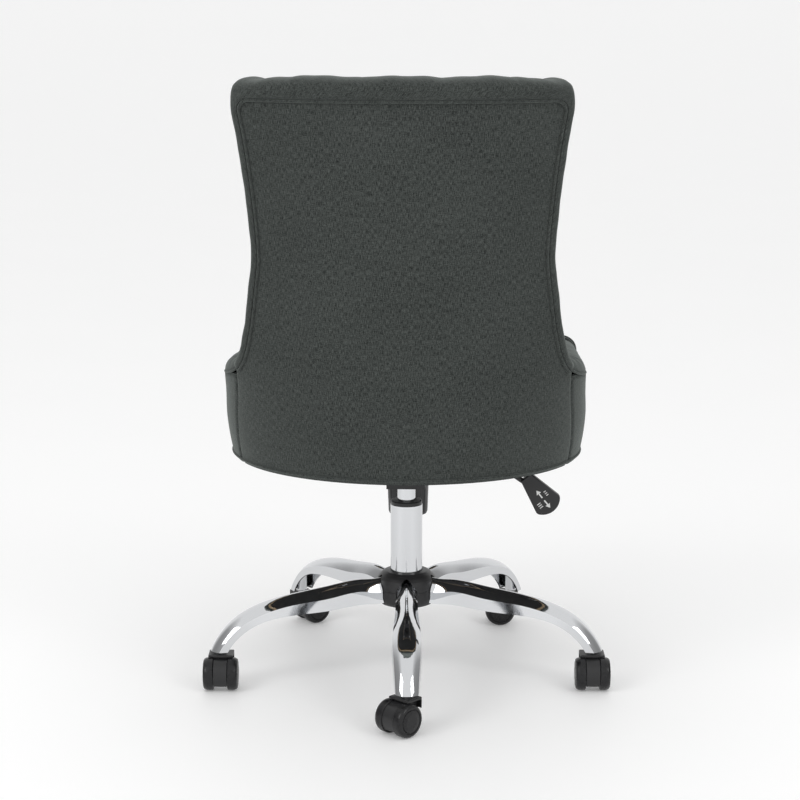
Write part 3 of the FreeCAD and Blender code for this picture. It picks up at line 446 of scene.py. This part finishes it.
outline = [(x, 0.3545) for x in np.linspace(0.2265, 0.2665, 9)]
outline += [(float(tub_size(z)[0]) - 0.0006, z) for z in np.linspace(0.3585, ARM_TOP_FRONT, 22)]
edge_x = float(tub_size(ARM_TOP_FRONT)[0]) - 0.0006
outline += [(edge_x - 0.0525 * (1 - math.cos(t)) / 2, ARM_TOP_FRONT + 0.029 * math.sin(t) ** 0.75)
            for t in np.linspace(0.08, math.pi - 0.08, 26)]
outline += [(edge_x - 0.0525 + 0.0012 * math.sin(math.pi * (z - 0.3585) / 0.1), z)
            for z in np.linspace(ARM_TOP_FRONT, 0.3585, 22)]
outline = np.array(outline)
step = np.roll(outline, -1, 0) - np.roll(outline, 1, 0)
facing = unit(np.stack([step[:, 1], -step[:, 0]], 1))
middle = np.stack([np.full(len(outline), outline[:, 0].mean()), np.clip(outline[:, 1], 0.381, 0.458)], 1)
face_rows = [np.insert(outline - facing * inset, 1, y, axis=1) for inset, y in
             ((0.0008, -0.2712), (0, -0.2745), (0, -0.2795), (0.0009, -0.2826), (0.0030, -0.2850), (0.0062, -0.2864),
              (0.0100, -0.2872))]
rim_row = outline - facing * 0.0100
face_rows += [np.insert(rim_row + (middle - rim_row) * part, 1, -0.2872 - 0.0022 * part, axis=1)
              for part in (0.35, 0.7, 1.0)]
back_row = np.insert(middle, 1, -0.2708, axis=1)
face_grid = np.array([back_row] + face_rows)
for side, tag in ((1, "left"), (-1, "right")):
    pad = tidy(skin(f"arm_pad_cover_{tag}", arm_grid * (side, 1, 1), wrap=True))
    face = tidy(skin(f"arm_front_{tag}", face_grid * (side, 1, 1), wrap=True))
    for piece in (pad, face):
        piece.data.materials.append(charcoal)
        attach(piece, "seat")
    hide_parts(f"arm_pad_{tag}")
    ring_path = np.insert(outline, 1, -0.2800, axis=1) * (side, 1, 1)
    ring_out = np.insert(facing, 1, 0, axis=1) * (side, 1, 1)
    turns = np.linspace(0, 2 * math.pi, 11)[:-1]
    cord = (ring_path[:, None, :] + 0.0023 * (ring_out[:, None, :] * np.cos(turns)[None, :, None]
                                              + np.array([0, 1, 0]) * np.sin(turns)[None, :, None]))
    face_welt = tidy(skin(f"arm_front_welt_{tag}", np.concatenate([cord, cord[:1]]), wrap=True))
    face_welt.data.materials.append(charcoal)
    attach(face_welt, "seat")

# ---- Seat cushion: a thick block of foam in a linen cover that crowns over its top, with a welt round the top
# edge. It sits between the arm pads and the back on a plywood board.
VOXEL, LAST_FRAME, LONGEST_MOVE = 0.0065, 20, 0.022
foam = nodes["seat_cushion"].data.copy()
cushion = bpy.data.objects.new("seat_cushion_cover", foam)
bpy.context.scene.collection.objects.link(cushion)
tidy(cushion)
points = np.empty(len(foam.vertices) * 3)
foam.vertices.foreach_get("co", points)
points = points.reshape(-1, 3)
low, high = points.min(0), points.max(0)
centre = (low + high) / 2
points = centre + (points - centre) * (0.982, 0.985, 0.93)
points[:, 2] -= (high[2] - low[2]) * 0.03
foam.vertices.foreach_set("co", points.ravel())
block = cushion.modifiers.new("block", "REMESH")
block.mode = "VOXEL"
block.voxel_size = VOXEL
with bpy.context.temp_override(object=cushion, active_object=cushion):
    bpy.ops.object.modifier_apply(modifier="block")
start = np.empty(len(cushion.data.vertices) * 3)
cushion.data.vertices.foreach_get("co", start)
start = start.reshape(-1, 3)
cloth = cushion.modifiers.new("cloth", "CLOTH")
cloth.settings.use_pressure = True
cloth.settings.uniform_pressure_force = 4
cloth.settings.effector_weights.gravity = 0
cloth.settings.quality = 5
cloth.point_cache.frame_end = LAST_FRAME
for frame_number in range(1, LAST_FRAME + 1):
    bpy.context.scene.frame_set(frame_number)
swollen = cushion.evaluated_get(bpy.context.evaluated_depsgraph_get()).data
after = np.empty(len(swollen.vertices) * 3)
swollen.vertices.foreach_get("co", after)
moved = after.reshape(-1, 3) - start
cushion.modifiers.remove(cloth)
bpy.context.scene.frame_set(1)
reach = np.linalg.norm(moved, axis=1, keepdims=True)
moved *= np.minimum(1, LONGEST_MOVE / np.maximum(reach, 1e-9))
moved = np.clip(moved, (-0.0035, -0.012, -0.003), (0.0035, 0.003, LONGEST_MOVE))
cushion.data.vertices.foreach_set("co", (start + moved).ravel())
smooth = cushion.modifiers.new("smooth", "SUBSURF")
smooth.levels = smooth.render_levels = 1
with bpy.context.temp_override(object=cushion, active_object=cushion):
    bpy.ops.object.modifier_apply(modifier="smooth")
tidy(cushion)


def lay_cloth(piece):
    """Lays the flat cloth over a block: each face takes its place from the two axes it faces least, in metres."""
    mesh = piece.data
    layer = mesh.uv_layers.get("cloth") or mesh.uv_layers.new(name="cloth")
    mesh.uv_layers.active = layer
    points = np.empty(len(mesh.vertices) * 3)
    mesh.vertices.foreach_get("co", points)
    index = np.empty(len(mesh.loops), int)
    mesh.loops.foreach_get("vertex_index", index)
    normals = np.empty(len(mesh.polygons) * 3)
    mesh.polygons.foreach_get("normal", normals)
    sizes = np.empty(len(mesh.polygons), int)
    mesh.polygons.foreach_get("loop_total", sizes)
    facing = np.repeat(np.abs(normals.reshape(-1, 3)), sizes, 0)
    p = points.reshape(-1, 3)[index]
    flat = facing[:, 2] > 0.6
    side = facing[:, 0] > facing[:, 1]
    u = np.where(flat | ~side, p[:, 0], p[:, 1])
    v = np.where(flat, p[:, 1], p[:, 2])
    layer.data.foreach_set("uv", np.stack([u, v], 1).ravel())
    mesh.polygons.foreach_set("use_smooth", np.ones(len(mesh.polygons), bool))


lay_cloth(cushion)
cushion.data.materials.clear()
cushion.data.materials.append(charcoal)
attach(cushion, "seat")
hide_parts("seat_cushion")

surface = bmesh.new()
surface.from_mesh(cushion.data)
bmesh.ops.triangulate(surface, faces=surface.faces)
tree = BVHTree.FromBMesh(surface)
outer = tub(np.linspace(-90, 90, 121), 0.385, np.interp(np.abs(np.linspace(-90, 90, 121)), [0, 75, 90],
                                                      [0.0835, 0.0835, 0.056]))
front_y, corner = -0.284, 0.022
bend = np.linspace(0, math.pi / 2, 9)
edge = float(outer[-1, 0])
right_end = np.stack([edge - corner + corner * np.cos(bend), front_y + corner - corner * np.sin(bend), 0 * bend], 1)
left_end = right_end[::-1] * (-1, 1, 1)
side_run = np.linspace(0, 1, 40)[1:-1, None]
run_right = outer[-1] + (right_end[0] - outer[-1]) * side_run
run_front = right_end[-1] + (left_end[0] - right_end[-1]) * np.linspace(0, 1, 60)[1:-1, None]
run_left = left_end[-1] + (outer[0] - left_end[-1]) * side_run
circuit = np.concatenate([outer, run_right, right_end, run_front, left_end, run_left])
circuit[:, 2] = 0.4585
snapped, faced = [], []
for place in circuit:
    hit, normal, _, _ = tree.find_nearest(Vector(place))
    snapped.append(hit)
    faced.append(normal)
surface.free()
snapped, faced = np.array(snapped), np.array(faced)
for _ in range(4):
    snapped = (np.roll(snapped, 1, 0) + 2 * snapped + np.roll(snapped, -1, 0)) / 4
    faced = unit(np.roll(faced, 1, 0) + 2 * faced + np.roll(faced, -1, 0))
along = unit(np.roll(snapped, -1, 0) - np.roll(snapped, 1, 0))
across_welt = unit(np.cross(along, faced))
cord_ring = faced[:, None, :] * np.cos(turns)[None, :, None] + across_welt[:, None, :] * np.sin(turns)[None, :, None]
cord = snapped[:, None, :] + 0.0006 * faced[:, None, :] + 0.0025 * cord_ring
cushion_welt = tidy(skin("seat_cushion_welt", np.concatenate([cord, cord[:1]]), wrap=True))
cushion_welt.data.materials.append(charcoal)
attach(cushion_welt, "seat")

# ---- Front rail cover: linen wrapped round the timber rail under the front of the cushion.
a = np.linspace(0, 2 * math.pi, 41)[:-1]
loop_y = -0.2608 + 0.0090 * np.sign(np.cos(a)) * np.abs(np.cos(a)) ** 0.25
loop_z = 0.3645 + 0.0135 * np.sign(np.sin(a)) * np.abs(np.sin(a)) ** 0.25
rail_x = np.linspace(-0.2402, 0.2402, 80)
rail_grid = np.stack([rail_x[:, None] + 0 * loop_y, loop_y[None, :] + 0 * rail_x[:, None],
                      loop_z[None, :] + 0 * rail_x[:, None]], -1)
rail = tidy(skin("front_rail_cover", round_ends(rail_grid, 0.001), wrap=True))
rail.data.materials.append(charcoal)
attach(rail, "seat")
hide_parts("front_rail")

# ---- Hidden timber: bent plywood panels and the seat board inside the upholstery, and the cloth under it.
def base_material(name, colour, roughness, metallic=0.0):
    """A material with a principled shader, and its tree, shader and Object coordinates."""
    material = bpy.data.materials.new(name)
    material.use_nodes = True
    tree = material.node_tree
    shader = tree.nodes["Principled BSDF"]
    shader.inputs["Base Color"].default_value = (*colour, 1)
    shader.inputs["Roughness"].default_value = roughness
    shader.inputs["Metallic"].default_value = metallic
    return material, tree, shader, tree.nodes.new("ShaderNodeTexCoord").outputs["Object"]


def noise(tree, coords, scale, detail=3.0, stretch=(1, 1, 1)):
    """Noise on Object coordinates stretched by three factors: its factor socket."""
    mapping = tree.nodes.new("ShaderNodeMapping")
    mapping.inputs["Scale"].default_value = stretch
    tree.links.new(coords, mapping.inputs["Vector"])
    texture = tree.nodes.new("ShaderNodeTexNoise")
    texture.inputs["Scale"].default_value = scale
    texture.inputs["Detail"].default_value = detail
    tree.links.new(mapping.outputs[0], texture.inputs["Vector"])
    return texture.outputs["Fac"]


def spread(tree, factor, low, high, socket):
    """Drives a value socket from low to high as the factor runs from 0.3 to 0.7."""
    ranged = tree.nodes.new("ShaderNodeMapRange")
    ranged.inputs["From Min"].default_value = 0.3
    ranged.inputs["From Max"].default_value = 0.7
    ranged.inputs["To Min"].default_value = low
    ranged.inputs["To Max"].default_value = high
    tree.links.new(factor, ranged.inputs["Value"])
    tree.links.new(ranged.outputs[0], socket)


def blend_colours(tree, factor, dark, light, socket):
    """Drives a colour socket from dark to light as the factor runs from 0.35 to 0.65."""
    ramp = tree.nodes.new("ShaderNodeValToRGB")
    ramp.color_ramp.elements[0].position, ramp.color_ramp.elements[1].position = 0.35, 0.65
    ramp.color_ramp.elements[0].color, ramp.color_ramp.elements[1].color = (*dark, 1), (*light, 1)
    tree.links.new(factor, ramp.inputs["Fac"])
    tree.links.new(ramp.outputs["Color"], socket)


def relief(tree, shader, factor, strength, distance):
    """Gives the shader a bump of that distance in metres from the factor."""
    bump = tree.nodes.new("ShaderNodeBump")
    bump.inputs["Strength"].default_value = strength
    bump.inputs["Distance"].default_value = distance
    tree.links.new(factor, bump.inputs["Height"])
    tree.links.new(bump.outputs["Normal"], shader.inputs["Normal"])


def dress(material, *names):
    """Puts the material on every slot of these CAD nodes."""
    for name in names:
        for slot in nodes[name].material_slots:
            slot.material = material


timber, tree, shader, coords = base_material("timber", (0.5, 0.37, 0.23), 0.7)
grain = noise(tree, coords, 60, 6, (1, 1, 14))
blend_colours(tree, grain, (0.42, 0.29, 0.17), (0.60, 0.46, 0.30), shader.inputs["Base Color"])
relief(tree, shader, grain, 0.3, 0.0004)
dress(timber, "seat_frame", "back_frame")
plywood, tree, shader, coords = base_material("plywood", (0.5, 0.38, 0.25), 0.65)
plies = noise(tree, coords, 55, 5, (0.15, 2.0, 9))
blend_colours(tree, plies, (0.38, 0.27, 0.16), (0.62, 0.49, 0.33), shader.inputs["Base Color"])
relief(tree, shader, plies, 0.3, 0.0003)
dress(plywood, "seat_board")
lining, tree, shader, coords = base_material("black_lining", (0.012, 0.012, 0.012), 0.95)
fibre = noise(tree, coords, 900, 4)
blend_colours(tree, fibre, (0.008, 0.008, 0.008), (0.024, 0.024, 0.024), shader.inputs["Base Color"])
relief(tree, shader, fibre, 0.4, 0.0003)
dress(lining, "dust_cover")

# ---- Tilt mechanism: pressed steel in black powder coat, a coil spring on a long bolt, zinc plated pins and
# bolts, and a fluted plastic knob.
paint, tree, shader, coords = base_material("black_powder_coat", (0.014, 0.014, 0.015), 0.42)
orange = noise(tree, coords, 700, 2)
spread(tree, orange, 0.36, 0.50, shader.inputs["Roughness"])
relief(tree, shader, orange, 0.25, 0.0002)
dress(paint, "tilt_housing", "seat_plate", "lever_rod")
zinc, tree, shader, coords = base_material("zinc_plate", (0.62, 0.62, 0.64), 0.3, 1.0)
wear = noise(tree, coords, 420, 4)
spread(tree, wear, 0.24, 0.40, shader.inputs["Roughness"])
blend_colours(tree, wear, (0.52, 0.52, 0.53), (0.70, 0.70, 0.72), shader.inputs["Base Color"])
dress(zinc, "tilt_pin", "tension_bolt", "spring_washer", "plate_bolts", "release_pin", "retaining_clip",
      "hub_socket", "caster_stems", "piston_rod")
dress(zinc, *[f"caster_axle_{n}" for n in range(1, 6)])
spring, tree, shader, coords = base_material("oiled_spring_steel", (0.16, 0.16, 0.17), 0.35, 1.0)
spread(tree, noise(tree, coords, 500, 3), 0.28, 0.46, shader.inputs["Roughness"])
dress(spring, "tension_spring", "thrust_bearing")
plastic, tree, shader, coords = base_material("black_plastic", (0.013, 0.013, 0.014), 0.42)
stipple = noise(tree, coords, 1500, 2)
spread(tree, noise(tree, coords, 25, 3), 0.34, 0.48, shader.inputs["Roughness"])
relief(tree, shader, stipple, 0.2, 0.00012)
dress(plastic, "tension_knob", "lever_pivot", "lever_paddle", "guide_bush", "hub_cover_top", "hub_cover_bottom")
dress(plastic, *[f"caster_body_{n}" for n in range(1, 6)])

# ---- Lever: the moulded paddle carries two generic raised arrows, up and down, with three short bars beside
# each, printed white. They stand 0.3 mm proud of its rear face.
slope = math.radians(51)
paddle_axis = np.array([-math.cos(slope), 0, -math.sin(slope)])
paddle_side = np.array([math.sin(slope), 0, -math.cos(slope)])
neck = np.array([-0.186, 0.0, 0.312])
shapes = []
for way, base_along in ((1, 0.047), (-1, 0.042)):
    shapes.append([(base_along, -0.0011), (base_along + way * 0.0085, -0.0011), (base_along + way * 0.0085, -0.0042),
                   (base_along + way * 0.0150, 0.0), (base_along + way * 0.0085, 0.0042),
                   (base_along + way * 0.0085, 0.0011), (base_along, 0.0011)])
for bar in range(3):
    for edge_side in (-1, 1):
        start = 0.0455 + 0.0034 * bar - (0.010 if edge_side < 0 else 0)
        inner_edge, outer_edge = 0.0072, 0.0072 + (0.0062 if edge_side > 0 else 0.0040)
        shapes.append([(start, edge_side * inner_edge), (start + 0.0013, edge_side * inner_edge),
                       (start + 0.0013, edge_side * outer_edge), (start, edge_side * outer_edge)])
bm = bmesh.new()
for shape in shapes:
    lower = [neck + paddle_axis * u + paddle_side * v + (0, 0.0069, 0) for u, v in shape]
    faces = [bm.faces.new([bm.verts.new(p) for p in lower])]
    raised = bmesh.ops.extrude_face_region(bm, geom=faces)
    lifted = [g for g in raised["geom"] if isinstance(g, bmesh.types.BMVert)]
    bmesh.ops.translate(bm, verts=lifted, vec=(0, 0.0004, 0))
bmesh.ops.recalc_face_normals(bm, faces=bm.faces)
icon_mesh = bpy.data.meshes.new("lever_arrows")
bm.to_mesh(icon_mesh)
bm.free()
icon = bpy.data.objects.new("lever_arrows", icon_mesh)
bpy.context.scene.collection.objects.link(icon)
ink, tree, shader, coords = base_material("white_ink", (0.72, 0.73, 0.72), 0.5)
spread(tree, noise(tree, coords, 800, 2), 0.4, 0.6, shader.inputs["Roughness"])
icon_mesh.materials.append(ink)
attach(icon, "lever")

# ---- Gas lift and base: chromed steel column and five pressed arms round a moulded hub cover.
chrome, tree, shader, coords = base_material("chrome", (0.66, 0.67, 0.685), 0.05, 1.0)
spread(tree, noise(tree, coords, 30, 4), 0.035, 0.085, shader.inputs["Roughness"])
relief(tree, shader, noise(tree, coords, 18, 2), 0.12, 0.0006)
dress(chrome, "gas_cylinder", "column_tube", "caster_sockets", *[f"base_arm_{n}" for n in range(1, 6)])

# ---- Casters: glossy nylon wheels either side of a moulded body, on zinc plated axles and stems.
nylon, tree, shader, coords = base_material("black_nylon", (0.008, 0.008, 0.009), 0.3)
scuff = noise(tree, coords, 160, 5)
spread(tree, scuff, 0.22, 0.42, shader.inputs["Roughness"])
blend_colours(tree, scuff, (0.006, 0.006, 0.007), (0.012, 0.012, 0.013), shader.inputs["Base Color"])
shader.inputs["Specular IOR Level"].default_value = 0.36
dress(nylon, *[f"caster_wheel_{hand}_{n}" for hand in ("left", "right") for n in range(1, 6)])

# ---- Floor and light: a white studio floor under soft light, with a darker room at each side for the chrome to
# reflect.
floor_mesh = bpy.data.meshes.new("floor")
floor_mesh.from_pydata([(-80, -80, 0), (80, -80, 0), (80, 80, 0), (-80, 80, 0)], [], [(0, 1, 2, 3)])
floor = bpy.data.objects.new("floor", floor_mesh)
bpy.context.scene.collection.objects.link(floor)
paper, tree, shader, coords = base_material("white_paper", (0.88, 0.88, 0.88), 0.55)
spread(tree, noise(tree, coords, 3, 2), 0.5, 0.6, shader.inputs["Roughness"])
shader.inputs["Emission Color"].default_value = (1, 1, 1, 1)
shader.inputs["Emission Strength"].default_value = 0.14
floor_mesh.materials.append(paper)
world = bpy.data.worlds.new("studio")
bpy.context.scene.world = world
world.use_nodes = True
tree = world.node_tree
place = tree.nodes.new("ShaderNodeTexCoord")
parts = tree.nodes.new("ShaderNodeSeparateXYZ")
tree.links.new(place.outputs["Generated"], parts.inputs[0])
sideways = tree.nodes.new("ShaderNodeMath")
sideways.operation = "ABSOLUTE"
tree.links.new(parts.outputs["X"], sideways.inputs[0])
shade = tree.nodes.new("ShaderNodeValToRGB")
for position in (0.55, 0.80):
    shade.color_ramp.elements.new(position)
for stop, value in zip(shade.color_ramp.elements, (1.0, 1.0, 0.42, 0.30)):
    stop.color = (value, value, value, 1)
tree.links.new(sideways.outputs[0], shade.inputs["Fac"])
tree.links.new(shade.outputs["Color"], tree.nodes["Background"].inputs["Color"])
tree.nodes["Background"].inputs["Strength"].default_value = 0.95
for name, place, power in (("window_left", (2.6, 2.2, 2.4), 30), ("window_right", (-2.6, 2.2, 2.4), 22)):
    lamp = bpy.data.lights.new(name, "AREA")
    lamp.size = 1.6
    lamp.energy = power
    box = bpy.data.objects.new(name, lamp)
    box.location = place
    box.rotation_euler = (Vector((0, 0, 0.5)) - Vector(place)).to_track_quat("-Z", "Y").to_euler()
    bpy.context.scene.collection.objects.link(box)
